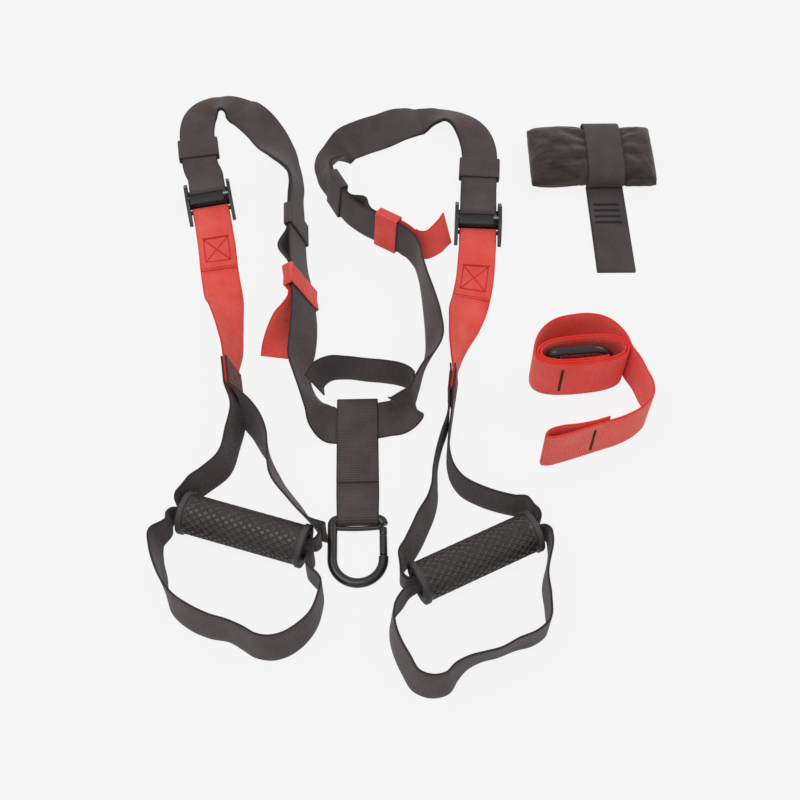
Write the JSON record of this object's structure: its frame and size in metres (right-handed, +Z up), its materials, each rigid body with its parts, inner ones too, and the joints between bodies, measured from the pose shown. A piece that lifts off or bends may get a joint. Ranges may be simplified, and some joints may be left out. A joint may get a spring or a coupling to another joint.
{
  "type": "suspension trainer",
  "caption": "Webbing suspension trainer laid out flat: carabiner, cam buckles, knurled handles with foot loops, door anchor pad and a wound extension strap.",
  "frame": {"origin": "middle of the layout's box at floor level", "axes": "+X to the viewer's right, +Y away from the viewer (towards the strap arches), +Z up from the floor"},
  "size_m": [0.5142, 0.6928, 0.0506],
  "materials": {
    "black_webbing": "woven polyester webbing",
    "red_webbing": "woven polyester webbing",
    "black_plastic": "moulded nylon, satin",
    "grip_plastic": "knurled hard plastic",
    "black_metal": "black coated alloy, satin",
    "spring_steel": "bare steel",
    "pad_cloth": "brushed pile cloth over foam"
  },
  "bodies": {
    "root": {"anchor_strap": "black_webbing", "equalizer_loop": "black_webbing", "main_strap_left": "black_webbing", "buckle_frame_left": "black_plastic", "cam_pin_left": "spring_steel", "cam_spring_left": "spring_steel", "lower_strap_left": "red_webbing", "handle_strap_left": "black_webbing", "foot_loop_left": "black_webbing", "main_strap_right": "black_webbing", "buckle_frame_right": "black_plastic", "cam_pin_right": "spring_steel", "cam_spring_right": "spring_steel", "lower_strap_right": "red_webbing", "handle_strap_right": "black_webbing", "foot_loop_right": "black_webbing"},
    "carabiner": {"carabiner_frame": "black_metal", "carabiner_gate_pin": "spring_steel"},
    "carabiner_gate": {"carabiner_gate": "black_metal", "carabiner_gate_spring": "spring_steel"},
    "cam_lever_left": {"cam_lever_left": "black_plastic"},
    "keeper_left_1": {"keeper_left_1": "black_webbing"},
    "keeper_left_2": {"keeper_left_2": "black_webbing"},
    "adjuster_left": {"tab_collar_left": "red_webbing", "adjust_tab_left": "red_webbing"},
    "grip_left": {"grip_sleeve_left": "grip_plastic", "grip_core_left": "grip_plastic", "grip_cap_left_outer": "grip_plastic", "grip_cap_left_inner": "grip_plastic"},
    "cam_lever_right": {"cam_lever_right": "black_plastic"},
    "keeper_right_1": {"keeper_right_1": "black_webbing"},
    "keeper_right_2": {"keeper_right_2": "black_webbing"},
    "adjuster_right": {"tab_collar_right": "red_webbing", "adjust_tab_right": "red_webbing"},
    "grip_right": {"grip_sleeve_right": "grip_plastic", "grip_core_right": "grip_plastic", "grip_cap_right_outer": "grip_plastic", "grip_cap_right_inner": "grip_plastic"},
    "door_anchor": {"door_pad": "pad_cloth", "door_wrap_strap": "black_webbing", "door_loop_strap": "black_webbing"},
    "extension": {"extension_strap": "red_webbing"},
    "extension_carabiner": {"extension_carabiner_frame": "black_metal", "extension_carabiner_gate_pin": "spring_steel"},
    "extension_gate": {"extension_carabiner_gate": "black_metal", "extension_carabiner_gate_spring": "spring_steel"}
  },
  "joints": [
    {"name": "carabiner_swing", "type": "hinge", "parent": "root", "child": "carabiner", "pos_m": [-0.05058, -0.18981, 0.00564], "axis": [-0.9997, -0.0236, 0], "range_deg": [0, 75]},
    {"name": "carabiner_gate_hinge", "type": "hinge", "parent": "carabiner", "child": "carabiner_gate", "pos_m": [-0.02845, -0.19931, 0.00528], "axis": [-0.0008, 0.0359, -0.9994], "range_deg": [0, 24], "stiffness_Nm_per_rad": 0.02, "springref_deg": -20.05},
    {"name": "extension_gate_hinge", "type": "hinge", "parent": "extension_carabiner", "child": "extension_gate", "pos_m": [0.1335, -0.04072, 0.00354], "axis": [0.1045, -0.9945, 0], "range_deg": [0, 24], "stiffness_Nm_per_rad": 0.02, "springref_deg": -20.05},
    {"name": "cam_lever_left_hinge", "type": "hinge", "parent": "root", "child": "cam_lever_left", "pos_m": [-0.21438, 0.18379, 0.01404], "axis": [-0.9767, -0.2147, 0], "range_deg": [0, 55], "stiffness_Nm_per_rad": 0.03, "springref_deg": -17.19},
    {"name": "cam_lever_right_hinge", "type": "hinge", "parent": "root", "child": "cam_lever_right", "pos_m": [0.06702, 0.15329, 0.01404], "axis": [-0.9986, 0.0523, 0], "range_deg": [0, 55], "stiffness_Nm_per_rad": 0.03, "springref_deg": -17.19},
    {"name": "grip_left_spin", "type": "hinge", "parent": "root", "child": "grip_left", "pos_m": [-0.09283, -0.22207, 0.01904], "axis": [0.9563, -0.2924, 0], "continuous": true},
    {"name": "grip_right_spin", "type": "hinge", "parent": "root", "child": "grip_right", "pos_m": [-0.00013, -0.25593, 0.01904], "axis": [0.8973, 0.4415, 0], "continuous": true},
    {"name": "keeper_left_1_slide", "type": "slide", "parent": "root", "child": "keeper_left_1", "axis": [0.168, -0.9858, -0.0031], "range_m": [-0.0015, 0.003]},
    {"name": "keeper_left_2_slide", "type": "slide", "parent": "root", "child": "keeper_left_2", "axis": [-0.0577, 0.9983, 0.0031], "range_m": [-0.0015, 0.003]},
    {"name": "adjuster_left_slide", "type": "slide", "parent": "root", "child": "adjuster_left", "axis": [-0.1269, 0.9919, 0.0025], "range_m": [-0.001, 0.0015]},
    {"name": "keeper_right_1_slide", "type": "slide", "parent": "root", "child": "keeper_right_1", "axis": [-0.0662, -0.9978, -0.0036], "range_m": [-0.0015, 0.003]},
    {"name": "keeper_right_2_slide", "type": "slide", "parent": "root", "child": "keeper_right_2", "axis": [-0.454, 0.8908, -0.0193], "range_m": [-0.0015, 0.003]},
    {"name": "adjuster_right_slide", "type": "slide", "parent": "root", "child": "adjuster_right", "axis": [-0.8457, 0.5336, -0.0057], "range_m": [-0.001, 0.0015]},
    {"name": "door_anchor_lift", "type": "slide", "parent": "root", "child": "door_anchor", "axis": [0, 0, 1], "range_m": [0, 0.1]},
    {"name": "extension_lift", "type": "slide", "parent": "root", "child": "extension", "axis": [0, 0, 1], "range_m": [0, 0.1]},
    {"name": "extension_carabiner_lift", "type": "slide", "parent": "root", "child": "extension_carabiner", "axis": [0, 0, 1], "range_m": [0, 0.1]}
  ]
}
